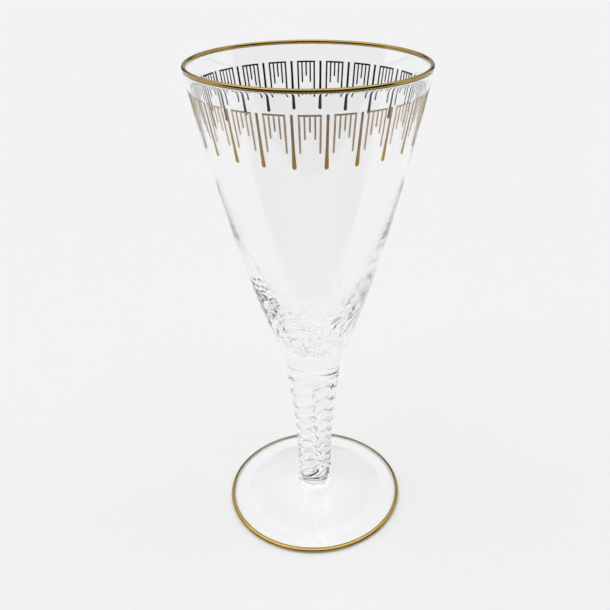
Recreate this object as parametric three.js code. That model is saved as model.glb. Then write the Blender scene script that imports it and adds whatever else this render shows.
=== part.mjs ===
import * as THREE from 'three';

// A stemmed wine glass: a blown conical bowl, a twisted solid stem and a domed foot,
// with gold fired onto the lip, the foot's edge and, as a hanging fringe, the bowl.
// Millimetres, +Z up. The origin is the middle of the ring that the foot stands on.

// Driving dimensions of the glass.
const overallHeight = 180;
const rimRadius = 39.5;
const lipThickness = 1.3;
const lipFade = 0.3;
const wallThickness = 0.85;
const rimFlare = 0.189;
const coneFootHeight = 80;
const coneFootRadius = 14.95;
const coneFootFlare = 0.34;
const shoulderHeight = 65;
const shoulderRadius = 10.7;
const shoulderFlare = 0.08;
const bowlSeatHeight = 63;
const bowlSeatRadius = 9.65;
const cavityFloorHeight = 74.6;
const cavityFloorGather = 6.5;
const gatherTaper = 3.6;

// Driving dimensions of the stem. A flare is radius gained per millimetre of height.
const stemTopRadius = bowlSeatRadius;
const stemWaistRadius = 6.25;
const stemWaistHeight = 11;
const stemTaper = 2.2;
const stemNeckRadius = 8.4;
const stemNeckFillet = 2.4;
const ribCount = 5;
const ribPitchTop = 6.6;
const ribPitchWaist = 4;
const ribDepthTop = 0.95;
const ribDepthWaist = 0.55;
const ribFade = 1.6;
const ribTopAngle = THREE.MathUtils.degToRad(37);

// Driving dimensions of the foot.
const footRadius = 36;
const footCentreHeight = 6.6;
const footEdgeThickness = 1.7;
const footEdgeLand = 1.9;
const footShelfRise = 0.5;
const restRingInnerRadius = 29;
const underDomeRise = 3.6;

// Driving dimensions of the gold. Depths are measured straight down from the lip.
const gildThickness = 0.15;
const gildSeatClearance = 0.06;
const rimBandHeightOutside = 1.1;
const rimBandHeightInside = 1.4;
const fringeTopDepth = 7.3;
const dripEndDepth = 24;
const dripTopWidth = 0.8;
const dripEndWidth = 1.3;
const strokeSwelling = 3;
const combBarHeight = 0.55;
const toothWidths = [0.62, 0.55, 0.55, 0.55, 0.62];
const toothEndDepths = [19, 14.7, 12.5, 14.7, 19];
const toothPitchAngle = THREE.MathUtils.degToRad(2.265);
const fringeStartAngle = THREE.MathUtils.degToRad(-158);
const fringeRepeats = 24;
const fringeFrontRepeats = 9;
const fringeFrontPitch = THREE.MathUtils.degToRad(15.15);
const fringeBackStart = 12;
const fringeBackRepeats = 8;
const fringeBackPitch = THREE.MathUtils.degToRad(16.05);

// How finely the round shapes are divided.
const roundSegments = 72;
const wallSteps = 6;
const lipSteps = 4;
const floorSteps = 4;
const seatSteps = 2;
const shoulderSteps = 3;
const edgeSteps = 6;
const footTopSteps = 4;
const edgeStepsUngiltBelow = 2;
const edgeStepsUngiltAbove = 1;
const neckSteps = 3;
const stemSteps = 30;
const sectorsPerRib = 8;
const strokeRows = 2;
const tipSteps = 3;

const glass = new THREE.MeshStandardMaterial({ color: 0xf2f6f5, roughness: 0.03, metalness: 0 });
const gold = new THREE.MeshStandardMaterial({ color: 0xb98f3e, roughness: 0.28, metalness: 1 });

const group = new THREE.Group();

function addPiece(name, geometry, finish) {
  const piece = new THREE.Mesh(geometry, finish.clone());
  piece.name = name;
  group.add(piece);
}

// A round piece, turned about +Z from its half section of [radius, height] points.
function turned(section) {
  const points = section.map(([radius, height]) => new THREE.Vector2(radius, height));
  return new THREE.LatheGeometry(points, roundSegments).rotateX(Math.PI / 2);
}

function sample(curve, steps) {
  return curve.getPoints(steps).map((point) => [point.x, point.y]);
}

// A cubic curve between two [radius, height, flare] places, in which height runs evenly.
function flaredCurve([lowRadius, low, lowFlare], [highRadius, high, highFlare]) {
  const third = (high - low) / 3;
  return new THREE.CubicBezierCurve(
    new THREE.Vector2(lowRadius, low),
    new THREE.Vector2(lowRadius + lowFlare * third, low + third),
    new THREE.Vector2(highRadius - highFlare * third, high - third),
    new THREE.Vector2(highRadius, high),
  );
}

// The bowl's outer wall is a slightly bulging cone.
const lipRadius = lipThickness / 2;
const lipHeight = overallHeight - gildThickness - lipRadius;
const coneFoot = [coneFootRadius, coneFootHeight, coneFootFlare];
const cone = flaredCurve(coneFoot, [rimRadius, lipHeight, rimFlare]);

function bowlRadius(height) {
  return cone.getPoint((height - coneFootHeight) / (lipHeight - coneFootHeight)).x;
}

// The glass gathers at the cavity's floor, thins out up the wall, and swells a little at the lip.
// The cavity's round floor turns into its wall where the cone starts outside.
function cavityRadius(height) {
  const toLip = (lipHeight - height) / (lipHeight - coneFootHeight);
  const gathered = cavityFloorGather * toLip ** gatherTaper;
  const swelled = (lipThickness - wallThickness) * Math.exp((height - lipHeight) / lipFade);
  return bowlRadius(height) - wallThickness - gathered - swelled;
}

function heightsBetween(low, high, steps) {
  return Array.from({ length: steps + 1 }, (_, step) => low + ((high - low) * step) / steps);
}

// The lip is a half round that the rim band wraps, so both pieces share these points.
function lipSection() {
  const lipCentre = rimRadius - lipRadius;
  const footOutside = overallHeight - rimBandHeightOutside;
  const footInside = overallHeight - rimBandHeightInside;
  const round = Array.from({ length: lipSteps + 1 }, (_, step) => {
    const angle = (Math.PI * step) / lipSteps;
    return [lipCentre + lipRadius * Math.cos(angle), lipHeight + lipRadius * Math.sin(angle)];
  });
  return [[bowlRadius(footOutside), footOutside], ...round, [cavityRadius(footInside), footInside]];
}

function makeBowl() {
  const seatRound = new THREE.QuadraticBezierCurve(
    new THREE.Vector2(bowlSeatRadius, bowlSeatHeight),
    new THREE.Vector2(shoulderRadius - shoulderFlare * (shoulderHeight - bowlSeatHeight), bowlSeatHeight),
    new THREE.Vector2(shoulderRadius, shoulderHeight),
  );
  const shoulder = flaredCurve([shoulderRadius, shoulderHeight, shoulderFlare], coneFoot);
  const outside = heightsBetween(coneFootHeight, overallHeight - rimBandHeightOutside, wallSteps)
    .slice(1, -1)
    .map((height) => [bowlRadius(height), height]);
  const inside = heightsBetween(coneFootHeight, overallHeight - rimBandHeightInside, wallSteps)
    .slice(1, -1)
    .reverse()
    .map((height) => [cavityRadius(height), height]);
  const turnRadius = cavityRadius(coneFootHeight);
  const turnFlare = cavityRadius(coneFootHeight + 1) - turnRadius;
  const floor = new THREE.QuadraticBezierCurve(
    new THREE.Vector2(turnRadius, coneFootHeight),
    new THREE.Vector2(turnRadius - turnFlare * (coneFootHeight - cavityFloorHeight), cavityFloorHeight),
    new THREE.Vector2(0, cavityFloorHeight),
  );
  const section = [
    [0, bowlSeatHeight],
    ...sample(seatRound, seatSteps),
    ...sample(shoulder, shoulderSteps).slice(1),
    ...outside,
    ...lipSection(),
    ...inside,
    ...sample(floor, floorSteps),
  ];
  addPiece('bowl', turned(section), glass);
}

// A skin of gold on a section: out along its points and back at the gold's thickness.
function gildSection(points) {
  const skin = points.map(([radius, height], index) => {
    const [radiusBefore, heightBefore] = points[Math.max(index - 1, 0)];
    const [radiusAfter, heightAfter] = points[Math.min(index + 1, points.length - 1)];
    const along = new THREE.Vector2(radiusAfter - radiusBefore, heightAfter - heightBefore).normalize();
    return [radius + along.y * gildThickness, height - along.x * gildThickness];
  });
  return [...skin, ...points.slice().reverse(), skin[0]];
}

function makeRimBand() {
  addPiece('rim_band', turned(gildSection(lipSection())), gold);
}

// The foot's rounded edge. The foot band wraps the outermost part of it, clear of the table.
const edgeReach = footEdgeLand / 3;
const footEdge = new THREE.CubicBezierCurve(
  new THREE.Vector2(footRadius - footEdgeLand, 0),
  new THREE.Vector2(footRadius + edgeReach, 0),
  new THREE.Vector2(footRadius + edgeReach, footEdgeThickness),
  new THREE.Vector2(footRadius - footEdgeLand, footEdgeThickness),
);
const edgePoints = sample(footEdge, edgeSteps);

function makeFoot() {
  const underDome = new THREE.QuadraticBezierCurve(
    new THREE.Vector2(0, underDomeRise),
    new THREE.Vector2(restRingInnerRadius / 2, underDomeRise),
    new THREE.Vector2(restRingInnerRadius, 0),
  );
  // The top stays low beside the edge, and rises ever faster to the stem.
  const edgeStart = footRadius - footEdgeLand;
  const footTop = new THREE.QuadraticBezierCurve(
    new THREE.Vector2(edgeStart, footEdgeThickness),
    new THREE.Vector2((edgeStart + stemNeckRadius) / 2, footEdgeThickness + footShelfRise),
    new THREE.Vector2(stemNeckRadius, footCentreHeight),
  );
  const section = [
    ...sample(underDome, floorSteps),
    ...edgePoints,
    ...sample(footTop, footTopSteps).slice(1),
    [0, footCentreHeight],
  ];
  addPiece('foot', turned(section), glass);
}

function makeFootBand() {
  const gilt = edgePoints.slice(edgeStepsUngiltBelow, -edgeStepsUngiltAbove);
  addPiece('foot_band', turned(gildSection(gilt)), gold);
}

// The stem tapers to a waist, and flares into a plain neck where it is welded to the foot.
function stemRadius(height) {
  if (height > stemWaistHeight) {
    const rise = (height - stemWaistHeight) / (bowlSeatHeight - stemWaistHeight);
    return stemWaistRadius + (stemTopRadius - stemWaistRadius) * rise ** stemTaper;
  }
  const aboveFoot = height - footCentreHeight;
  const intoFillet = 1 - Math.min(aboveFoot / stemNeckFillet, 1);
  return stemWaistRadius + (stemNeckRadius - stemWaistRadius) * (1 - Math.sqrt(1 - intoFillet ** 2));
}

function ribPitch(height) {
  const rise = (height - stemWaistHeight) / (bowlSeatHeight - stemWaistHeight);
  return ribPitchWaist + (ribPitchTop - ribPitchWaist) * THREE.MathUtils.clamp(rise, 0, 1);
}

// Ribs are rounded, meet in narrow grooves, and fade out at both ends of the twist.
function ribDepth(height) {
  const rise = (height - stemWaistHeight) / (bowlSeatHeight - stemWaistHeight);
  const depth = ribDepthWaist + (ribDepthTop - ribDepthWaist) * rise;
  const toEnd = Math.min(height - stemWaistHeight, bowlSeatHeight - height);
  return depth * THREE.MathUtils.clamp(toEnd / ribFade, 0, 1);
}

// The angle of one groove. It turns about the stem at the ribs' pitch, and the neck has none.
function grooveAngle(height) {
  const low = Math.max(height, stemWaistHeight);
  const middle = (low + bowlSeatHeight) / 2;
  const meanRibsPerMillimetre = (1 / ribPitch(low) + 4 / ribPitch(middle) + 1 / ribPitchTop) / 6;
  const ribsAbove = (bowlSeatHeight - low) * meanRibsPerMillimetre;
  return ribTopAngle - (2 * Math.PI * ribsAbove) / ribCount;
}

function makeStem() {
  const sectors = ribCount * sectorsPerRib;
  const neckTop = footCentreHeight + stemNeckFillet;
  const heights = [
    ...heightsBetween(footCentreHeight, neckTop, neckSteps),
    ...heightsBetween(stemWaistHeight, bowlSeatHeight, stemSteps),
  ];
  const vertices = [];
  for (const height of heights) {
    for (let sector = 0; sector < sectors; sector += 1) {
      const acrossRib = (sector % sectorsPerRib) / sectorsPerRib;
      const crown = 4 * acrossRib * (1 - acrossRib);
      const radius = stemRadius(height) + ribDepth(height) * crown;
      const angle = grooveAngle(height) + (2 * Math.PI * sector) / sectors;
      vertices.push(radius * Math.cos(angle), radius * Math.sin(angle), height);
    }
  }
  const bottomCentre = vertices.length / 3;
  vertices.push(0, 0, heights[0]);
  const topCentre = vertices.length / 3;
  vertices.push(0, 0, bowlSeatHeight);

  const triangles = [];
  const topRing = (heights.length - 1) * sectors;
  for (let sector = 0; sector < sectors; sector += 1) {
    const next = (sector + 1) % sectors;
    for (let ring = 0; ring < topRing; ring += sectors) {
      const [a, b, c, d] = [ring + sector, ring + next, ring + next + sectors, ring + sector + sectors];
      triangles.push(a, b, d, b, c, d);
    }
    triangles.push(bottomCentre, next, sector);
    triangles.push(topCentre, topRing + sector, topRing + next);
  }
  const geometry = new THREE.BufferGeometry();
  geometry.setAttribute('position', new THREE.Float32BufferAttribute(vertices, 3));
  geometry.setIndex(triangles);
  addPiece('stem', geometry, glass);
}

// A point on the bowl's outside: at an angle, a distance to the side of it, and a depth.
function onBowl([angle, side, depth], lift) {
  const height = overallHeight - depth;
  const radius = bowlRadius(height) + lift;
  const around = angle + side / bowlRadius(height);
  return [radius * Math.cos(around), radius * Math.sin(around), height];
}

// A thin plate of gold that follows the bowl, from cells that meet corner to corner.
// Each cell is a convex outline of [angle, side, depth] corners, clockwise seen from outside.
function gildedPlate(cells) {
  const corners = new Map();
  const vertices = [];
  const cornerOf = (corner) => {
    const key = onBowl(corner, 0).map((value) => value.toFixed(4)).join();
    if (!corners.has(key)) {
      corners.set(key, corners.size);
      vertices.push(...onBowl(corner, gildSeatClearance), ...onBowl(corner, gildSeatClearance + gildThickness));
    }
    return corners.get(key) * 2;
  };
  const triangles = [];
  const edges = new Map();
  for (const cell of cells) {
    const outline = cell.map(cornerOf);
    for (let corner = 1; corner < outline.length - 1; corner += 1) {
      const [a, b, c] = [outline[0], outline[corner], outline[corner + 1]];
      triangles.push(a, b, c, a + 1, c + 1, b + 1);
    }
    outline.forEach((from, corner) => {
      const to = outline[(corner + 1) % outline.length];
      if (!edges.delete(`${to} ${from}`)) {
        edges.set(`${from} ${to}`, [from, to]);
      }
    });
  }
  for (const [from, to] of edges.values()) {
    triangles.push(from, from + 1, to + 1, from, to + 1, to);
  }
  const geometry = new THREE.BufferGeometry();
  geometry.setAttribute('position', new THREE.Float32BufferAttribute(vertices, 3));
  geometry.setIndex(triangles);
  return geometry;
}

// A hanging stroke with a round end, below the corners where it starts. Its rows of corners follow
// the bowl's curve. Where the end is wider, most of the swelling comes in the lower half.
function strokeCells(angle, topDepth, endDepth, topWidth, endWidth) {
  const tipRadius = endWidth / 2;
  const tipDepth = endDepth - tipRadius;
  const rows = Array.from({ length: strokeRows + 1 }, (_, row) => {
    const share = row / strokeRows;
    const half = (topWidth + (endWidth - topWidth) * share ** strokeSwelling) / 2;
    const depth = topDepth + (tipDepth - topDepth) * share;
    return [[angle, -half, depth], [angle, half, depth]];
  });
  const shaft = rows.slice(1).map((lower, row) => [rows[row][0], rows[row][1], lower[1], lower[0]]);
  const tip = Array.from({ length: tipSteps + 1 }, (_, step) => {
    const turn = (Math.PI * step) / tipSteps;
    return [angle, tipRadius * Math.cos(turn), tipDepth + tipRadius * Math.sin(turn)];
  });
  return [...shaft, tip];
}

function makeDrip(name, angle) {
  addPiece(
    name,
    gildedPlate(strokeCells(angle, fringeTopDepth, dripEndDepth, dripTopWidth, dripEndWidth)),
    gold,
  );
}

// A comb hangs midway between two drips: a level bar with five teeth, the middle one shortest.
function makeComb(name, angle) {
  const barFoot = fringeTopDepth + combBarHeight;
  const middle = (toothWidths.length - 1) / 2;
  const cells = [];
  let gapStart = null;
  for (const [tooth, width] of toothWidths.entries()) {
    const toothAngle = angle + (tooth - middle) * toothPitchAngle;
    const left = [toothAngle, -width / 2];
    const right = [toothAngle, width / 2];
    if (gapStart) {
      cells.push(barCell(gapStart, left, barFoot));
    }
    cells.push(barCell(left, right, barFoot));
    cells.push(...strokeCells(toothAngle, barFoot, toothEndDepths[tooth], width, width));
    gapStart = right;
  }
  addPiece(name, gildedPlate(cells), gold);
}

function barCell([leftAngle, leftSide], [rightAngle, rightSide], barFoot) {
  return [
    [leftAngle, leftSide, fringeTopDepth],
    [rightAngle, rightSide, fringeTopDepth],
    [rightAngle, rightSide, barFoot],
    [leftAngle, leftSide, barFoot],
  ];
}

// The fringe was laid by hand. Its repeats are a little wider in front and at the back than on
// both sides between, which share what is left. Repeats are counted from the front's left end.
function fringeAngle(repeat) {
  const { clamp } = THREE.MathUtils;
  const inFront = clamp(repeat, 0, fringeFrontRepeats);
  const atBack = clamp(repeat - fringeBackStart, 0, fringeBackRepeats);
  const sidePitch =
    (2 * Math.PI - fringeFrontRepeats * fringeFrontPitch - fringeBackRepeats * fringeBackPitch) /
    (fringeRepeats - fringeFrontRepeats - fringeBackRepeats);
  const atSides = (repeat - inFront - atBack) * sidePitch;
  return fringeStartAngle + inFront * fringeFrontPitch + atBack * fringeBackPitch + atSides;
}

makeBowl();
makeStem();
makeFoot();
makeRimBand();
makeFootBand();
for (let repeat = 0; repeat < fringeRepeats; repeat += 1) {
  const label = String(repeat + 1).padStart(2, '0');
  makeDrip(`drip_${label}`, fringeAngle(repeat));
  makeComb(`comb_${label}`, fringeAngle(repeat + 0.5));
}

export default group;
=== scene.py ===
"""A stemmed wine glass with a twisted stem and fired gold, on a pale studio floor. Metres, +Z up."""
import math

import bpy
from mathutils import Euler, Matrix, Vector, noise


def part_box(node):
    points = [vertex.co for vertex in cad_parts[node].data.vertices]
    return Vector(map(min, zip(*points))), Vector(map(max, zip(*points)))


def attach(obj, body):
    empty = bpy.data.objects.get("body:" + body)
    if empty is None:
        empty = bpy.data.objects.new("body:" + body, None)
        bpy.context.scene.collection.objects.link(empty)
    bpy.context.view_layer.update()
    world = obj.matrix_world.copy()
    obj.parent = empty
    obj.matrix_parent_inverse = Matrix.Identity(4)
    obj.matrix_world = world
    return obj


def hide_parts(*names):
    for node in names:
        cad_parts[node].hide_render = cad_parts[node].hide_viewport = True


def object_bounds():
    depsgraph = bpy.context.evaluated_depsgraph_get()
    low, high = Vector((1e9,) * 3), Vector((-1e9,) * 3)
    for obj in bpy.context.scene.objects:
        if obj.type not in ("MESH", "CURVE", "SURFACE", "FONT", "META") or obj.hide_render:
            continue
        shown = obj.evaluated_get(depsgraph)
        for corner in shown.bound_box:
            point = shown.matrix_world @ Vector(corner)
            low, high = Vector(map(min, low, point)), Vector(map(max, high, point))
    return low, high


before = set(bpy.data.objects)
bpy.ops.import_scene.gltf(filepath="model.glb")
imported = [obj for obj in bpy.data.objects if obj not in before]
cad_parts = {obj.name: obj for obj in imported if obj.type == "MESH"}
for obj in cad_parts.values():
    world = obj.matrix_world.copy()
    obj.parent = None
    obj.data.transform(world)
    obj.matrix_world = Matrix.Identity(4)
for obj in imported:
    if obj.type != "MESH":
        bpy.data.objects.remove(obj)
cad_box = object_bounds()
MM = 0.001

# Camera.
# It stands at arm's length in front of the glass and looks down on it by about thirty degrees,
# with a normal lens, which repeats the angle of the photograph. The small shift is its framing.
CAMERA_DISTANCE = 0.2345
CAMERA_HEIGHT = 0.2237
CAMERA_TILT_DOWN = math.radians(29.38)
CAMERA_TURN_RIGHT = math.radians(1.84)
CAMERA_FILM_WIDTH = 36.0
CAMERA_FOCAL_LENGTH = 42.41
CAMERA_SHIFT = -0.045

camera_lens = bpy.data.cameras.new("camera")
camera_lens.sensor_width = CAMERA_FILM_WIDTH
camera_lens.lens = CAMERA_FOCAL_LENGTH
camera_lens.shift_x = CAMERA_SHIFT
camera_lens.clip_start = 0.01
camera = bpy.data.objects.new("camera", camera_lens)
camera.location = (0, -CAMERA_DISTANCE, CAMERA_HEIGHT)
camera.rotation_euler = (math.pi / 2 - CAMERA_TILT_DOWN, 0, -CAMERA_TURN_RIGHT)
bpy.context.scene.collection.objects.link(camera)
bpy.context.scene.camera = camera

# Bowl.
# A blown cone of clear glass. The glass gathers at its floor, where the wall is thick, and thins
# out to the lip, which is melted round in the fire. Its flat seat is fused to the stem.
ROUND_SEGMENTS = 256
WALL_STEPS = 56
WALL_CROWDING = 1.5
CORD_STEPS = 80
SEAT_STEPS = 16
LIP_STEPS = 18
FLOOR_STEPS = 32
bowl_low, bowl_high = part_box("bowl")
bowl_seat_height = bowl_low.z
rim_radius = bowl_high.x
LIP_THICKNESS = 1.3 * MM
LIP_FADE = 0.3 * MM
WALL_THICKNESS = 0.85 * MM
RIM_FLARE = 0.189
CONE_FOOT_HEIGHT = 80 * MM
CONE_FOOT_RADIUS = 14.95 * MM
CONE_FOOT_FLARE = 0.34
SHOULDER_HEIGHT = 65 * MM
SHOULDER_RADIUS = 10.7 * MM
SHOULDER_FLARE = 0.08
BOWL_SEAT_RADIUS = 9.65 * MM
CAVITY_FLOOR_HEIGHT = 74.6 * MM
CAVITY_FLOOR_GATHER = 6.5 * MM
GATHER_TAPER = 3.6
CORD_TOP = 101 * MM
CORD_DEPTH = 1.4 * MM
CORD_WIDTH = 2.3 * MM
CORD_LENGTH = 4.0 * MM
CORD_TURN = 0.045 / MM
FINE_CORD_DEPTH = 0.25  # of the cords' own depth
FINE_CORD_COUNT = 2.1  # for one of the cords
lip_radius = LIP_THICKNESS / 2
lip_height = bowl_high.z - lip_radius


def curve_points(controls, steps):
    """Points of the Bezier curve with these [radius, height] controls."""
    found = []
    for step in range(steps + 1):
        share = step / steps
        level = [Vector(control) for control in controls]
        while len(level) > 1:
            level = [a.lerp(b, share) for a, b in zip(level, level[1:])]
        found.append(tuple(level[0]))
    return found


def steps_between(low, high, steps):
    return [low + (high - low) * step / steps for step in range(steps + 1)]


def flared_controls(low_end, high_end):
    """Controls of a curve between two (radius, height, flare) places, in which height runs evenly."""
    (low_radius, low, low_flare), (high_radius, high, high_flare) = low_end, high_end
    third = (high - low) / 3
    return [
        (low_radius, low),
        (low_radius + low_flare * third, low + third),
        (high_radius - high_flare * third, high - third),
        (high_radius, high),
    ]


cone_foot = (CONE_FOOT_RADIUS, CONE_FOOT_HEIGHT, CONE_FOOT_FLARE)
cone = flared_controls(cone_foot, (rim_radius, lip_height, RIM_FLARE))


def bowl_radius(height):
    """The outside of the bowl, a slightly bulging cone."""
    share = (height - CONE_FOOT_HEIGHT) / (lip_height - CONE_FOOT_HEIGHT)
    rest = 1 - share
    weights = (rest**3, 3 * rest**2 * share, 3 * rest * share**2, share**3)
    return sum(weight * control[0] for weight, control in zip(weights, cone))


def cavity_radius(height):
    to_lip = max((lip_height - height) / (lip_height - CONE_FOOT_HEIGHT), 0)
    gathered = CAVITY_FLOOR_GATHER * to_lip**GATHER_TAPER
    swelled = (LIP_THICKNESS - WALL_THICKNESS) * math.exp((height - lip_height) / LIP_FADE)
    return bowl_radius(height) - WALL_THICKNESS - gathered - swelled


def wall_heights(low, high):
    """Heights from low to high that lie closer together towards the lip, which is finely round."""
    return [high - (high - low) * (1 - share) ** WALL_CROWDING for share in steps_between(0, 1, WALL_STEPS)]


def cord_depth(place):
    """How far the cavity's wall stands in or out here, in soft cords that climb with the twist and fade."""
    fade = min(max((CORD_TOP - place.z) / (CORD_TOP - CAVITY_FLOOR_HEIGHT), 0), 1)
    straight = place.copy()
    straight.rotate(Euler((0, 0, -place.z * CORD_TURN)))
    spot = Vector((straight.x / CORD_WIDTH, straight.y / CORD_WIDTH, straight.z / CORD_LENGTH))
    return CORD_DEPTH * fade * (noise.noise(spot) + FINE_CORD_DEPTH * noise.noise(spot * FINE_CORD_COUNT))


def turned(name, section, segments=ROUND_SEGMENTS):
    """A closed mesh turned about Z from a section of (radius, height) points, counterclockwise."""
    closed = section[0] == section[-1]
    rings = section[:-1] if closed else section
    points = []
    starts = []
    for radius, height in rings:
        starts.append(len(points))
        count = segments if radius > 0 else 1
        for segment in range(count):
            angle = 2 * math.pi * segment / segments
            points.append((radius * math.cos(angle), radius * math.sin(angle), height))
    faces = []
    pairs = list(zip(range(len(rings)), list(range(1, len(rings))) + ([0] if closed else [])))
    for low, high in pairs:
        for segment in range(segments):
            here, there = segment, (segment + 1) % segments
            below = (here, there) if rings[low][0] > 0 else (0,)
            above = (there, here) if rings[high][0] > 0 else (0,)
            faces.append([starts[low] + side for side in below] + [starts[high] + side for side in above])
    mesh = bpy.data.meshes.new(name)
    mesh.from_pydata(points, [], faces)
    mesh.polygons.foreach_set("use_smooth", [True] * len(faces))
    piece = bpy.data.objects.new(name, mesh)
    bpy.context.scene.collection.objects.link(piece)
    return piece


def weld_at(piece, heights, glass, weld):
    """Smooth glass, with the weld's finish and a crisp edge around each flat face at these heights."""
    mesh = piece.data
    mesh.materials.clear()
    mesh.materials.append(glass)
    mesh.materials.append(weld)
    welded = []
    for face in mesh.polygons:
        corners = [mesh.vertices[corner].co.z for corner in face.vertices]
        welded.append(any(max(abs(z - height) for z in corners) < 1e-7 for height in heights))
    mesh.polygons.foreach_set("material_index", [int(is_weld) for is_weld in welded])
    mesh.polygons.foreach_set("use_smooth", [True] * len(welded))
    uses = {}
    for face, is_weld in zip(mesh.polygons, welded):
        for key in face.edge_keys:
            uses.setdefault(key, set()).add(is_weld)
    for edge in mesh.edges:
        edge.use_edge_sharp = len(uses[edge.key]) == 2


def node(tree, kind, **settings):
    """A new shader or geometry node with its settings, and inputs by their names."""
    made = tree.nodes.new(kind)
    for key, value in settings.items():
        if key == "inputs":
            for socket, held in value.items():
                made.inputs[socket].default_value = held
        else:
            setattr(made, key, value)
    return made


GLASS_WAVE_HEIGHT = 0.012 * MM


def make_glass():
    """Clear glass with faint upright waves, as blowing and shearing leave them."""
    material = bpy.data.materials.new("clear_glass")
    material.use_nodes = True
    tree = material.node_tree
    surface = tree.nodes["Principled BSDF"]
    surface.inputs["Transmission Weight"].default_value = 1.0
    surface.inputs["Roughness"].default_value = 0.0
    surface.inputs["IOR"].default_value = 1.5
    place = node(tree, "ShaderNodeTexCoord")
    upright = node(tree, "ShaderNodeMapping", inputs={"Scale": (1, 1, 0.08)})
    waves = node(tree, "ShaderNodeTexNoise", inputs={"Scale": 110, "Detail": 1, "Roughness": 0.4})
    bump = node(tree, "ShaderNodeBump", inputs={"Strength": 1.0, "Distance": GLASS_WAVE_HEIGHT})
    tint = node(tree, "ShaderNodeMix", data_type="RGBA")
    tint.inputs[6].default_value = (0.997, 0.9995, 0.998, 1)
    tint.inputs[7].default_value = (1.0, 1.0, 1.0, 1)
    tree.links.new(place.outputs["Object"], upright.inputs["Vector"])
    tree.links.new(upright.outputs["Vector"], waves.inputs["Vector"])
    tree.links.new(waves.outputs["Fac"], bump.inputs["Height"])
    tree.links.new(waves.outputs["Fac"], tint.inputs[0])
    tree.links.new(tint.outputs[2], surface.inputs["Base Color"])
    tree.links.new(bump.outputs["Normal"], surface.inputs["Normal"])
    return material


def make_weld():
    """The inside of a hot weld, where glass has run into glass and no surface is left."""
    material = bpy.data.materials.new("fused_joint")
    material.use_nodes = True
    tree = material.node_tree
    tree.nodes.clear()
    clear = node(tree, "ShaderNodeBsdfTransparent")
    output = node(tree, "ShaderNodeOutputMaterial")
    tree.links.new(clear.outputs[0], output.inputs["Surface"])
    return material


clear_glass = make_glass()
fused_joint = make_weld()

seat_round = curve_points(
    [
        (BOWL_SEAT_RADIUS, bowl_seat_height),
        (SHOULDER_RADIUS - SHOULDER_FLARE * (SHOULDER_HEIGHT - bowl_seat_height), bowl_seat_height),
        (SHOULDER_RADIUS, SHOULDER_HEIGHT),
    ],
    SEAT_STEPS,
)
shoulder_top = (SHOULDER_RADIUS, SHOULDER_HEIGHT, SHOULDER_FLARE)
shoulder = curve_points(flared_controls(shoulder_top, cone_foot), SEAT_STEPS)
lip_flare_inside = (cavity_radius(lip_height) - cavity_radius(lip_height - MM / 10)) / (MM / 10)
lip_round = [
    (rim_radius - lip_radius + lip_radius * math.cos(angle), lip_height + lip_radius * math.sin(angle))
    for angle in steps_between(-math.atan(RIM_FLARE), math.pi - math.atan(lip_flare_inside), LIP_STEPS)
]
turn_radius = cavity_radius(CONE_FOOT_HEIGHT)
turn_flare = (cavity_radius(CONE_FOOT_HEIGHT + MM) - turn_radius) / MM
cavity_floor = curve_points(
    [
        (turn_radius, CONE_FOOT_HEIGHT),
        (turn_radius - turn_flare * (CONE_FOOT_HEIGHT - CAVITY_FLOOR_HEIGHT), CAVITY_FLOOR_HEIGHT),
        (0, CAVITY_FLOOR_HEIGHT),
    ],
    FLOOR_STEPS,
)
outer_wall = [(bowl_radius(height), height) for height in wall_heights(CONE_FOOT_HEIGHT, lip_round[0][1])]
corded_heights = steps_between(CONE_FOOT_HEIGHT, CORD_TOP, CORD_STEPS)
inner_heights = corded_heights[:-1] + wall_heights(CORD_TOP, lip_round[-1][1])
inner_wall = [(cavity_radius(height), height) for height in inner_heights]
bowl = turned(
    "bowl_glass",
    [(0, bowl_seat_height)]
    + seat_round
    + shoulder[1:]
    + outer_wall[1:-1]
    + lip_round
    + inner_wall[-2:0:-1]
    + cavity_floor,
)

# The cavity's points come last in the mesh: rings down its wall and floor, and one in the middle.
cavity_rings = len(inner_wall) - 2 + len(cavity_floor) - 1
cavity = bowl.data.vertices[len(bowl.data.vertices) - 1 - cavity_rings * ROUND_SEGMENTS :]
corded = [vertex.co + vertex.normal * cord_depth(vertex.co) for vertex in cavity]
for vertex, place in zip(cavity, corded):
    vertex.co = place
weld_at(bowl, [bowl_seat_height], clear_glass, fused_joint)
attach(bowl, "root")
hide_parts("bowl")

# Stem.
# A solid rod of glass, ribbed in a mould and twisted while soft, so that five round ribs climb it
# to the right. The ribs crowd together towards the waist, and a plain neck below spreads to the foot.
stem_low, stem_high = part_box("stem")
SIDES_PER_RIB = 40
STEM_RINGS = 300
STEM_SIZES = {
    "Ribs": 5,
    "Foot End": stem_low.z,
    "Bowl End": stem_high.z,
    "Waist Height": 11 * MM,
    "Waist Radius": 6.25 * MM,
    "Top Radius": BOWL_SEAT_RADIUS,
    "Taper": 2.2,
    "Neck Radius": 8.4 * MM,
    "Neck Fillet": 2.4 * MM,
    "Pitch at Top": 6.6 * MM,
    "Pitch at Waist": 4 * MM,
    "Rib Depth at Top": 0.95 * MM,
    "Rib Depth at Waist": 0.55 * MM,
    "Groove Softness": 0.02,
    "Rib Fade": 1.6 * MM,
    "Groove Angle at Top": math.radians(37),
}


def add_inputs(tree, sizes):
    """Named inputs on a geometry tree for a piece's sizes. Returns the group's input node."""
    tree.interface.new_socket("Geometry", in_out="INPUT", socket_type="NodeSocketGeometry")
    for name, value in sizes.items():
        kind = {int: "NodeSocketInt", float: "NodeSocketFloat"}.get(type(value), "NodeSocketMaterial")
        tree.interface.new_socket(name, in_out="INPUT", socket_type=kind)
    tree.interface.new_socket("Geometry", in_out="OUTPUT", socket_type="NodeSocketGeometry")
    return tree.nodes.new("NodeGroupInput").outputs


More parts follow.
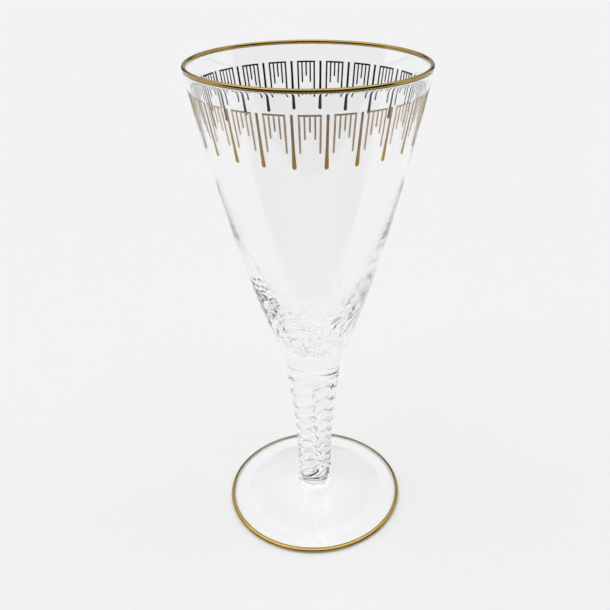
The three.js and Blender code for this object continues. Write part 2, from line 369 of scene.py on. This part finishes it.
def calculator(tree):
    """A function that adds one Math node and returns its result, to write formulas with."""

    def calculate(operation, *values):
        step = node(tree, "ShaderNodeMath", operation=operation)
        for socket, value in zip(step.inputs, values):
            if isinstance(value, (int, float)):
                socket.default_value = value
            else:
                tree.links.new(value, socket)
        return step.outputs[0]

    return calculate


def grown(name, base_mesh, tree, sizes):
    """The plain mesh that a geometry tree makes from a base mesh and its sizes."""
    base = bpy.data.objects.new(name + "_base", base_mesh)
    bpy.context.scene.collection.objects.link(base)
    modifier = base.modifiers.new(name, "NODES")
    modifier.node_group = tree
    for item in tree.interface.items_tree:
        if item.in_out == "INPUT" and item.name in sizes:
            modifier[item.identifier] = sizes[item.name]
    bpy.context.view_layer.update()
    evaluated = base.evaluated_get(bpy.context.evaluated_depsgraph_get())
    mesh = bpy.data.meshes.new_from_object(evaluated)
    mesh.name = name
    bpy.data.objects.remove(base)
    piece = bpy.data.objects.new(name, mesh)
    bpy.context.scene.collection.objects.link(piece)
    return piece


def twisted_stem_tree(sizes):
    tree = bpy.data.node_groups.new("twisted_stem", "GeometryNodeTree")
    given = add_inputs(tree, sizes)
    calc = calculator(tree)
    rod = node(tree, "GeometryNodeMeshCylinder", fill_type="NGON")
    rod.inputs["Side Segments"].default_value = STEM_RINGS
    rod.inputs["Radius"].default_value = 1
    rod.inputs["Depth"].default_value = 1
    tree.links.new(calc("MULTIPLY", given["Ribs"], SIDES_PER_RIB), rod.inputs["Vertices"])
    place = node(tree, "GeometryNodeInputPosition")
    split = node(tree, "ShaderNodeSeparateXYZ")
    tree.links.new(place.outputs[0], split.inputs[0])

    # Height and place around the rod, counted from a groove.
    length = calc("SUBTRACT", given["Bowl End"], given["Foot End"])
    height = calc("MULTIPLY_ADD", calc("ADD", split.outputs["Z"], 0.5), length, given["Foot End"])
    around = calc("ARCTAN2", split.outputs["Y"], split.outputs["X"])
    twisted = calc("SUBTRACT", given["Bowl End"], given["Waist Height"])
    climbed = calc("SUBTRACT", height, given["Waist Height"])
    rise = calc("MAXIMUM", calc("DIVIDE", climbed, twisted), 0.0)

    # The radius in the grooves: a taper, and a fillet where the neck meets the foot.
    taper = calc("POWER", rise, given["Taper"])
    widening = calc("SUBTRACT", given["Top Radius"], given["Waist Radius"])
    rod_radius = calc("MULTIPLY_ADD", taper, widening, given["Waist Radius"])
    fillet_top = calc("ADD", given["Foot End"], given["Neck Fillet"])
    below_top = calc("MAXIMUM", calc("SUBTRACT", fillet_top, height), 0.0)
    into_fillet = calc("DIVIDE", below_top, given["Neck Fillet"])
    round_off = calc("SQRT", calc("MAXIMUM", calc("SUBTRACT", 1.0, calc("POWER", into_fillet, 2.0)), 0.0))
    spread = calc("SUBTRACT", given["Neck Radius"], given["Waist Radius"])
    groove_radius = calc("MULTIPLY_ADD", calc("SUBTRACT", 1.0, round_off), spread, rod_radius)

    # The twist: ribs passed from the bowl down, with the pitch shrinking evenly on the way.
    pitch_gain = calc("SUBTRACT", given["Pitch at Top"], given["Pitch at Waist"])
    pitch = calc("MULTIPLY_ADD", rise, pitch_gain, given["Pitch at Waist"])
    pitch_ratio = calc("DIVIDE", given["Pitch at Top"], pitch)
    ribs_above = calc("MULTIPLY", calc("DIVIDE", twisted, pitch_gain), calc("LOGARITHM", pitch_ratio, math.e))
    turned_by = calc("DIVIDE", calc("MULTIPLY", ribs_above, 2 * math.pi), given["Ribs"])
    angle = calc("ADD", around, calc("SUBTRACT", given["Groove Angle at Top"], turned_by))

    # The ribs: round crowns and soft narrow grooves, which fade out at both ends of the twist.
    across = calc("ABSOLUTE", calc("SINE", calc("MULTIPLY", calc("MULTIPLY", around, given["Ribs"]), 0.5)))
    softness = given["Groove Softness"]
    softened = calc("SQRT", calc("ADD", calc("POWER", across, 2.0), calc("POWER", softness, 2.0)))
    highest = calc("SUBTRACT", calc("SQRT", calc("ADD", 1.0, calc("POWER", softness, 2.0))), softness)
    crown = calc("DIVIDE", calc("SUBTRACT", softened, softness), highest)
    depth_gain = calc("SUBTRACT", given["Rib Depth at Top"], given["Rib Depth at Waist"])
    depth = calc("MULTIPLY_ADD", rise, depth_gain, given["Rib Depth at Waist"])
    to_end = calc("MINIMUM", climbed, calc("SUBTRACT", given["Bowl End"], height))
    fade = node(tree, "ShaderNodeMapRange", interpolation_type="SMOOTHSTEP")
    tree.links.new(to_end, fade.inputs["Value"])
    tree.links.new(given["Rib Fade"], fade.inputs["From Max"])
    rib = calc("MULTIPLY", calc("MULTIPLY", crown, depth), fade.outputs["Result"])
    radius = calc("ADD", groove_radius, rib)

    shaped = node(tree, "ShaderNodeCombineXYZ")
    tree.links.new(calc("MULTIPLY", radius, calc("COSINE", angle)), shaped.inputs["X"])
    tree.links.new(calc("MULTIPLY", radius, calc("SINE", angle)), shaped.inputs["Y"])
    tree.links.new(height, shaped.inputs["Z"])
    moved = node(tree, "GeometryNodeSetPosition")
    tree.links.new(rod.outputs["Mesh"], moved.inputs["Geometry"])
    tree.links.new(shaped.outputs[0], moved.inputs["Position"])
    glass = node(tree, "GeometryNodeSetMaterial")
    tree.links.new(moved.outputs[0], glass.inputs["Geometry"])
    tree.links.new(given["Glass"], glass.inputs["Material"])
    output = tree.nodes.new("NodeGroupOutput")
    tree.links.new(glass.outputs[0], output.inputs[0])
    return tree


stem_sizes = {**STEM_SIZES, "Glass": clear_glass}
stem = grown("stem_glass", bpy.data.meshes.new("rod"), twisted_stem_tree(stem_sizes), stem_sizes)
weld_at(stem, [stem_low.z, stem_high.z], clear_glass, fused_joint)
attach(stem, "root")
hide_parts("stem")

# Foot.
# A round foot of clear glass, spun out hot from the stem's neck and slightly domed, with a
# rounded edge. It stands on a flat ring, and is hollowed a little inside the ring.
foot_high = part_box("foot")[1]
foot_radius = foot_high.x
FOOT_EDGE_THICKNESS = 1.7 * MM
FOOT_EDGE_LAND = 1.9 * MM
REST_RING_INNER_RADIUS = 29 * MM
UNDER_DOME_RISE = 3.6 * MM
FOOT_SHELF_RISE = 0.5 * MM
FOOT_EDGE_STEPS = 24
FOOT_TOP_STEPS = 32
edge_start = foot_radius - FOOT_EDGE_LAND
edge_reach = foot_radius + FOOT_EDGE_LAND / 3
foot_edge = curve_points(
    [(edge_start, 0), (edge_reach, 0), (edge_reach, FOOT_EDGE_THICKNESS), (edge_start, FOOT_EDGE_THICKNESS)],
    FOOT_EDGE_STEPS,
)
under_dome = curve_points(
    [(0, UNDER_DOME_RISE), (REST_RING_INNER_RADIUS / 2, UNDER_DOME_RISE), (REST_RING_INNER_RADIUS, 0)],
    FOOT_EDGE_STEPS,
)
neck_radius = STEM_SIZES["Neck Radius"]
foot_top = curve_points(
    [
        (edge_start, FOOT_EDGE_THICKNESS),
        ((edge_start + neck_radius) / 2, FOOT_EDGE_THICKNESS + FOOT_SHELF_RISE),
        (neck_radius, foot_high.z),
    ],
    FOOT_TOP_STEPS,
)
foot = turned("foot_glass", under_dome + foot_edge + foot_top[1:] + [(0, foot_high.z)])
weld_at(foot, [foot_high.z], clear_glass, fused_joint)
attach(foot, "root")
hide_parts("foot")

# Rim band.
# A line of bright gold, brushed over the lip while the glass turned on a wheel, then fired.
# It wraps the lip, and its lower edges are as even as a steady hand makes them.
GILD_THICKNESS = 0.05 * MM
GILD_SINK = 0.02 * MM
RIM_BAND_HEIGHT_OUTSIDE = 1.1 * MM
RIM_BAND_HEIGHT_INSIDE = 1.4 * MM


def gilded(points):
    """The closed section of a skin of gold on these points, sunk a little into the glass."""

    def offset(distance):
        found = []
        for index, (radius, height) in enumerate(points):
            before = Vector(points[max(index - 1, 0)])
            after = Vector(points[min(index + 1, len(points) - 1)])
            along = (after - before).normalized()
            found.append((radius + along.y * distance, height - along.x * distance))
        return found

    outside = offset(GILD_THICKNESS)
    inside = offset(-GILD_SINK)
    return outside + inside[::-1] + outside[:1]


def make_underside():
    """The underside of fired gold, a purple-brown film that is nearly black through the glass."""
    material = bpy.data.materials.new("gold_underside")
    material.use_nodes = True
    tree = material.node_tree
    surface = tree.nodes["Principled BSDF"]
    surface.inputs["Roughness"].default_value = 0.5
    surface.inputs["Specular IOR Level"].default_value = 0.1
    place = node(tree, "ShaderNodeTexCoord")
    drift = node(tree, "ShaderNodeTexNoise", inputs={"Scale": 300, "Detail": 2})
    tone = node(tree, "ShaderNodeMix", data_type="RGBA")
    tone.inputs[6].default_value = (0.004, 0.002, 0.003, 1)
    tone.inputs[7].default_value = (0.022, 0.011, 0.012, 1)
    tree.links.new(place.outputs["Object"], drift.inputs["Vector"])
    tree.links.new(drift.outputs["Fac"], tone.inputs[0])
    tree.links.new(tone.outputs[2], surface.inputs["Base Color"])
    return material


def gild(name, points, gold, underside):
    """A closed skin of gold on a line of points turned about Z, with its film on the glass's side."""
    skin = turned(name, gilded(points))
    skin.data.materials.append(gold)
    skin.data.materials.append(underside)
    for face in skin.data.polygons:
        if len(points) * ROUND_SEGMENTS <= face.index < (2 * len(points) - 1) * ROUND_SEGMENTS:
            face.material_index = 1
    return skin


def make_gold(name, bright, deep, roughness_low, roughness_high):
    """Fired gold: two tones that drift into each other, and a sheen that varies with them."""
    material = bpy.data.materials.new(name)
    material.use_nodes = True
    tree = material.node_tree
    surface = tree.nodes["Principled BSDF"]
    surface.inputs["Metallic"].default_value = 1.0
    place = node(tree, "ShaderNodeTexCoord")
    drift = node(tree, "ShaderNodeTexNoise", inputs={"Scale": 220, "Detail": 3, "Roughness": 0.55})
    tone = node(tree, "ShaderNodeMix", data_type="RGBA")
    tone.inputs[6].default_value = (*deep, 1)
    tone.inputs[7].default_value = (*bright, 1)
    sheen = node(tree, "ShaderNodeMapRange")
    sheen.inputs["To Min"].default_value = roughness_high
    sheen.inputs["To Max"].default_value = roughness_low
    grain = node(tree, "ShaderNodeTexNoise", inputs={"Scale": 2400, "Detail": 2})
    bump = node(tree, "ShaderNodeBump", inputs={"Strength": 0.15, "Distance": 0.00005})
    tree.links.new(place.outputs["Object"], drift.inputs["Vector"])
    tree.links.new(place.outputs["Object"], grain.inputs["Vector"])
    tree.links.new(drift.outputs["Fac"], tone.inputs[0])
    tree.links.new(drift.outputs["Fac"], sheen.inputs["Value"])
    tree.links.new(tone.outputs[2], surface.inputs["Base Color"])
    tree.links.new(sheen.outputs["Result"], surface.inputs["Roughness"])
    tree.links.new(grain.outputs["Fac"], bump.inputs["Height"])
    tree.links.new(bump.outputs["Normal"], surface.inputs["Normal"])
    return material


gold_underside = make_underside()
band_gold = make_gold("band_gold", (0.49, 0.345, 0.10), (0.32, 0.215, 0.055), 0.05, 0.13)
glass_top = cad_box[1].z
foot_outside = glass_top - RIM_BAND_HEIGHT_OUTSIDE
foot_inside = glass_top - RIM_BAND_HEIGHT_INSIDE
rim_points = (
    [(bowl_radius(height), height) for height in steps_between(foot_outside, lip_round[0][1], 4)[:-1]]
    + lip_round
    + [(cavity_radius(height), height) for height in steps_between(lip_round[-1][1], foot_inside, 8)[1:]]
)
rim_band = gild("rim_band_gold", rim_points, band_gold, gold_underside)
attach(rim_band, "root")
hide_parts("rim_band")

# Foot band.
# The same bright gold, brushed around the foot's edge while it turned on the wheel, then fired. It
# ends just above the table, and reaches a little over the edge onto the foot's top.
BAND_BARE_BELOW = 5  # steps of the foot's edge, counted from the table
BAND_BARE_ABOVE = 2  # and from the foot's top
band_points = foot_edge[BAND_BARE_BELOW:-BAND_BARE_ABOVE]
foot_band = gild("foot_band_gold", band_points, band_gold, gold_underside)
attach(foot_band, "root")
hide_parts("foot_band")

# Fringe.
# Raised satin gold, printed on the bowl below the lip and fired: level combs with five teeth, and
# long drips with swollen ends between them. Through the glass its underside shows nearly black.
FRINGE_SPACING = {
    "Repeats": 24,
    "Start": math.radians(-158),
    "Front Repeats": 9,
    "Front Pitch": math.radians(15.15),
    "Back Start": 12,
    "Back Repeats": 8,
    "Back Pitch": math.radians(16.05),
}
FRINGE_TOP_DEPTH = 7.3 * MM
DRIP_END_DEPTH = 24 * MM
DRIP_TOP_WIDTH = 0.8 * MM
DRIP_END_WIDTH = 1.3 * MM
DRIP_SWELLING = 3
DRIP_STEPS = 16
TOOTH_STEPS = 6
STROKE_END_STEPS = 8
CREASE_ANGLE = math.radians(50)
COMB_BAR_HEIGHT = 0.55 * MM
TOOTH_WIDTHS = [width * MM for width in (0.62, 0.55, 0.55, 0.55, 0.62)]
TOOTH_END_DEPTHS = [depth * MM for depth in (19, 14.7, 12.5, 14.7, 19)]
TOOTH_PITCH_ANGLE = math.radians(2.265)
FRINGE_RAISE = 0.11 * MM
FRINGE_EDGE_RAISE = 0.03 * MM


def on_bowl(corner, lift):
    """A point on the bowl's outside from (angle, side, depth), lifted off it."""
    angle, side, depth = corner
    height = glass_top - depth
    around = angle + side / bowl_radius(height)
    radius = bowl_radius(height) + lift
    return radius * math.cos(around), radius * math.sin(around), height


def raised_plate(name, cells):
    """A closed plate of gold over cells of (angle, side, depth, crown) corners, clockwise from outside."""
    points = []
    corners = {}

    def corner_of(corner):
        key = tuple(round(value, 9) for value in corner[:3])
        if key not in corners:
            corners[key] = len(points)
            raised = FRINGE_EDGE_RAISE + (FRINGE_RAISE - FRINGE_EDGE_RAISE) * corner[3]
            points.append(on_bowl(corner[:3], -GILD_SINK))
            points.append(on_bowl(corner[:3], raised))
        return corners[key]

    faces = []
    under = []
    open_edges = {}
    for cell in cells:
        outline = [corner_of(corner) for corner in cell]
        faces.append(outline)
        under.append(True)
        faces.append([index + 1 for index in reversed(outline)])
        under.append(False)
        for here, there in zip(outline, outline[1:] + outline[:1]):
            if (there, here) in open_edges:
                del open_edges[there, here]
            else:
                open_edges[here, there] = True
    for here, there in open_edges:
        faces.append([here, here + 1, there + 1, there])
        under.append(False)
    mesh = bpy.data.meshes.new(name)
    mesh.from_pydata(points, [], faces)
    flag = mesh.attributes.new("underside", "BOOLEAN", "FACE")
    flag.data.foreach_set("value", under)
    mesh.polygons.foreach_set("use_smooth", [True] * len(faces))
    mesh.set_sharp_from_angle(angle=CREASE_ANGLE)
    return mesh


def stroke_cells(angle, top_depth, end_depth, top_width, end_width, swelling, steps):
    """A hanging stroke with a ridge down its middle and a round end."""
    tip_radius = end_width / 2
    tip_depth = end_depth - tip_radius
    rows = []
    for share in steps_between(0, 1, steps):
        half = (top_width + (end_width - top_width) * share**swelling) / 2
        depth = top_depth + (tip_depth - top_depth) * share
        rows.append([(angle, -half, depth, 0), (angle, 0, depth, 1), (angle, half, depth, 0)])
    cells = []
    for upper, lower in zip(rows, rows[1:]):
        cells.append([upper[0], upper[1], lower[1], lower[0]])
        cells.append([upper[1], upper[2], lower[2], lower[1]])
    middle = rows[-1][1]
    rim = [
        (angle, tip_radius * math.cos(turn), tip_depth + tip_radius * math.sin(turn), 0)
        for turn in steps_between(0, math.pi, STROKE_END_STEPS)
    ]
    rim[0], rim[-1] = rows[-1][2], rows[-1][0]
    cells += [[middle, here, there] for here, there in zip(rim, rim[1:])]
    return cells


def comb_cells(angle):
    """A level bar with five teeth that hang from it."""
    top, foot_of_bar = FRINGE_TOP_DEPTH, FRINGE_TOP_DEPTH + COMB_BAR_HEIGHT
    ridge = (top + foot_of_bar) / 2
    cells = []
    columns = []
    for tooth, width in enumerate(TOOTH_WIDTHS):
        tooth_angle = angle + (tooth - (len(TOOTH_WIDTHS) - 1) / 2) * TOOTH_PITCH_ANGLE
        columns += [(tooth_angle, -width / 2, 0), (tooth_angle, 0, 1), (tooth_angle, width / 2, 0)]
        cells += stroke_cells(tooth_angle, foot_of_bar, TOOTH_END_DEPTHS[tooth], width, width, 1, TOOTH_STEPS)
    bar = [
        [(around, side, top, 0), (around, side, ridge, 1), (around, side, foot_of_bar, crown)]
        for around, side, crown in columns
    ]
    for left, right in zip(bar, bar[1:]):
        cells.append([left[0], right[0], right[1], left[1]])
        cells.append([left[1], right[1], right[2], left[2]])
    return cells


def round_the_bowl_tree(sizes):
    """Copies of a plate around the bowl, one finish on the face and one on the underside.

    Repeats are a little wider in front and at the back than on both sides between, which share
    what is left. Offset counts from each repeat's start, in repeats.
    """
    tree = bpy.data.node_groups.new("round_the_bowl", "GeometryNodeTree")
    given = add_inputs(tree, sizes)
    calc = calculator(tree)
    spots = node(tree, "GeometryNodePoints")
    tree.links.new(given["Repeats"], spots.inputs["Count"])
    count_up = node(tree, "GeometryNodeInputIndex")
    repeat = calc("ADD", count_up.outputs[0], given["Offset"])
    in_front = calc("MINIMUM", repeat, given["Front Repeats"])
    past_start = calc("MAXIMUM", calc("SUBTRACT", repeat, given["Back Start"]), 0.0)
    at_back = calc("MINIMUM", past_start, given["Back Repeats"])
    at_sides = calc("SUBTRACT", calc("SUBTRACT", repeat, in_front), at_back)
    front_all = calc("MULTIPLY", given["Front Repeats"], given["Front Pitch"])
    back_all = calc("MULTIPLY", given["Back Repeats"], given["Back Pitch"])
    sides_all = calc("SUBTRACT", calc("SUBTRACT", 2 * math.pi, front_all), back_all)
    other_repeats = calc("ADD", given["Front Repeats"], given["Back Repeats"])
    side_repeats = calc("SUBTRACT", given["Repeats"], other_repeats)
    angle = calc("MULTIPLY_ADD", in_front, given["Front Pitch"], given["Start"])
    angle = calc("MULTIPLY_ADD", at_back, given["Back Pitch"], angle)
    angle = calc("MULTIPLY_ADD", at_sides, calc("DIVIDE", sides_all, side_repeats), angle)
    turn = node(tree, "ShaderNodeCombineXYZ")
    tree.links.new(angle, turn.inputs["Z"])
    copies = node(tree, "GeometryNodeInstanceOnPoints")
    tree.links.new(spots.outputs[0], copies.inputs["Points"])
    tree.links.new(given["Geometry"], copies.inputs["Instance"])
    tree.links.new(turn.outputs[0], copies.inputs["Rotation"])
    real = node(tree, "GeometryNodeRealizeInstances")
    tree.links.new(copies.outputs[0], real.inputs[0])
    face = node(tree, "GeometryNodeSetMaterial")
    tree.links.new(real.outputs[0], face.inputs["Geometry"])
    tree.links.new(given["Face"], face.inputs["Material"])
    flag = node(tree, "GeometryNodeInputNamedAttribute", data_type="BOOLEAN")
    flag.inputs["Name"].default_value = "underside"
    under = node(tree, "GeometryNodeSetMaterial")
    tree.links.new(face.outputs[0], under.inputs["Geometry"])
    tree.links.new(flag.outputs["Attribute"], under.inputs["Selection"])
    tree.links.new(given["Underside"], under.inputs["Material"])
    output = tree.nodes.new("NodeGroupOutput")
    tree.links.new(under.outputs[0], output.inputs[0])
    return tree


def make_satin_gold(name, upper, lower):
    """Satin fired gold, thin and brownish above and thicker and yellower towards the drips' ends."""
    material = bpy.data.materials.new(name)
    material.use_nodes = True
    tree = material.node_tree
    surface = tree.nodes["Principled BSDF"]
    surface.inputs["Metallic"].default_value = 1.0
    place = node(tree, "ShaderNodeTexCoord")
    split = node(tree, "ShaderNodeSeparateXYZ")
    down = node(tree, "ShaderNodeMapRange", interpolation_type="SMOOTHSTEP")
    down.inputs["From Min"].default_value = glass_top - (FRINGE_TOP_DEPTH + DRIP_END_DEPTH) / 2
    down.inputs["From Max"].default_value = glass_top - DRIP_END_DEPTH
    tone = node(tree, "ShaderNodeMix", data_type="RGBA")
    tone.inputs[6].default_value = (*upper, 1)
    tone.inputs[7].default_value = (*lower, 1)
    drift = node(tree, "ShaderNodeTexNoise", inputs={"Scale": 420, "Detail": 3, "Roughness": 0.6})
    light = node(tree, "ShaderNodeMapRange", inputs={"To Min": 0.72, "To Max": 1.3})
    varied = node(tree, "ShaderNodeVectorMath", operation="SCALE")
    sheen = node(tree, "ShaderNodeMapRange", inputs={"To Min": 0.5, "To Max": 0.34})
    tree.links.new(place.outputs["Object"], split.inputs[0])
    tree.links.new(split.outputs["Z"], down.inputs["Value"])
    tree.links.new(down.outputs["Result"], tone.inputs[0])
    tree.links.new(place.outputs["Object"], drift.inputs["Vector"])
    tree.links.new(drift.outputs["Fac"], light.inputs["Value"])
    tree.links.new(drift.outputs["Fac"], sheen.inputs["Value"])
    tree.links.new(tone.outputs[2], varied.inputs[0])
    tree.links.new(light.outputs["Result"], varied.inputs["Scale"])
    tree.links.new(varied.outputs[0], surface.inputs["Base Color"])
    tree.links.new(sheen.outputs["Result"], surface.inputs["Roughness"])
    return material


drip_gold = make_satin_gold("drip_gold", (0.44, 0.30, 0.15), (0.5, 0.31, 0.06))
comb_gold = make_satin_gold("comb_gold", (0.60, 0.47, 0.33), (0.62, 0.50, 0.36))
fringe_sizes = {**FRINGE_SPACING, "Offset": 0.0, "Face": drip_gold, "Underside": gold_underside}
fringe_tree = round_the_bowl_tree(fringe_sizes)
drip_cells = stroke_cells(
    0, FRINGE_TOP_DEPTH, DRIP_END_DEPTH, DRIP_TOP_WIDTH, DRIP_END_WIDTH, DRIP_SWELLING, DRIP_STEPS
)
drip_plate = raised_plate("drip", drip_cells)
comb_plate = raised_plate("comb", comb_cells(0))
for piece_name, plate, offset, gold in (
    ("drip", drip_plate, 0.0, drip_gold),
    ("comb", comb_plate, 0.5, comb_gold),
):
    sizes = {**fringe_sizes, "Offset": offset, "Face": gold}
    fringe = grown(f"fringe_{piece_name}s", plate, fringe_tree, sizes)
    replaced = [f"{piece_name}_{number:02d}" for number in range(1, FRINGE_SPACING["Repeats"] + 1)]
    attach(fringe, "root")
    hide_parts(*replaced)

# Studio.
# A white table in a dim room, lit by one wide soft light overhead. A bright window stands at each
# side and a pale wall behind, and the camera's own side is dark, so that edges and gold show.
FLOOR_HALF_WIDTH = 5.0
FLOOR_FRONT = 0.2  # the table ends this far before the glass, so what faces the camera mirrors the dark
FLOOR_GAP = 0.1 * MM
FLOOR_COLOUR = (0.9, 0.9, 0.9, 1)
SKY_COLOUR = (0.95, 0.95, 0.96, 1)
ROOM_BRIGHTNESS = 0.02
PANELS = {
    # where it stands: its direction, the angles from there where it is full and where it ends, brightness
    "soft light overhead": ((-0.1, 0.12, 1.0), 34, 60, 2.1),
    "window at the left": ((-0.91, 0.4, 0.2), 27, 36, 0.9),
    "window at the right": ((0.91, 0.4, 0.2), 27, 36, 0.9),
    "pale wall behind": ((0.0, 0.7, 0.8), 5, 42, 0.85),
    "pale far end of the room": ((0.0, 1.0, 0.1), 12, 24, 0.5),
    "dark camera side": ((0.0, -1.0, 0.3), 34, 48, 0.07),
    "dim floor below the table": ((0.0, 0.0, -1.0), 58, 68, 0.4),
}
floor_mesh = bpy.data.meshes.new("floor")
floor_mesh.from_pydata(
    [
        (-FLOOR_HALF_WIDTH, -FLOOR_FRONT, -FLOOR_GAP),
        (FLOOR_HALF_WIDTH, -FLOOR_FRONT, -FLOOR_GAP),
        (FLOOR_HALF_WIDTH, FLOOR_HALF_WIDTH, -FLOOR_GAP),
        (-FLOOR_HALF_WIDTH, FLOOR_HALF_WIDTH, -FLOOR_GAP),
    ],
    [],
    [(0, 1, 2, 3)],
)
floor = bpy.data.objects.new("floor", floor_mesh)
bpy.context.scene.collection.objects.link(floor)
floor_paper = bpy.data.materials.new("floor_paper")
floor_paper.use_nodes = True
paper = floor_paper.node_tree.nodes["Principled BSDF"]
paper.inputs["Base Color"].default_value = FLOOR_COLOUR
paper.inputs["Roughness"].default_value = 0.9
paper.inputs["Specular IOR Level"].default_value = 0.0
floor_mesh.materials.append(floor_paper)

world = bpy.data.worlds.new("room")
world.use_nodes = True
room = world.node_tree
direction = node(room, "ShaderNodeTexCoord")
everywhere = node(room, "ShaderNodeValue")
everywhere.outputs[0].default_value = ROOM_BRIGHTNESS
seen = everywhere.outputs[0]
for name, (toward, full, edge, brightness) in PANELS.items():
    facing = node(room, "ShaderNodeVectorMath", operation="DOT_PRODUCT", label=name)
    facing.inputs[1].default_value = Vector(toward).normalized()
    cover = node(
        room,
        "ShaderNodeMapRange",
        interpolation_type="SMOOTHSTEP",
        inputs={"From Min": math.cos(math.radians(edge)), "From Max": math.cos(math.radians(full))},
    )
    room.links.new(direction.outputs["Generated"], facing.inputs[0])
    room.links.new(facing.outputs["Value"], cover.inputs["Value"])
    covered = node(room, "ShaderNodeMix", data_type="FLOAT")
    covered.inputs[3].default_value = brightness
    room.links.new(cover.outputs["Result"], covered.inputs[0])
    room.links.new(seen, covered.inputs[2])
    seen = covered.outputs[0]
room.nodes["Background"].inputs["Color"].default_value = SKY_COLOUR
room.links.new(seen, room.nodes["Background"].inputs["Strength"])
bpy.context.scene.world = world

# Light that enters a thick wall of glass runs along inside it before it comes out, so a path may be
# long, and no roughness is added to the glass to shorten it.
LONGEST_PATH = 128
MOST_WELDS_PASSED = 64
scene = bpy.context.scene
scene.view_settings.view_transform = "Standard"
scene.cycles.max_bounces = LONGEST_PATH
scene.cycles.transmission_bounces = LONGEST_PATH
scene.cycles.glossy_bounces = LONGEST_PATH
scene.cycles.transparent_max_bounces = MOST_WELDS_PASSED
scene.cycles.blur_glossy = 0
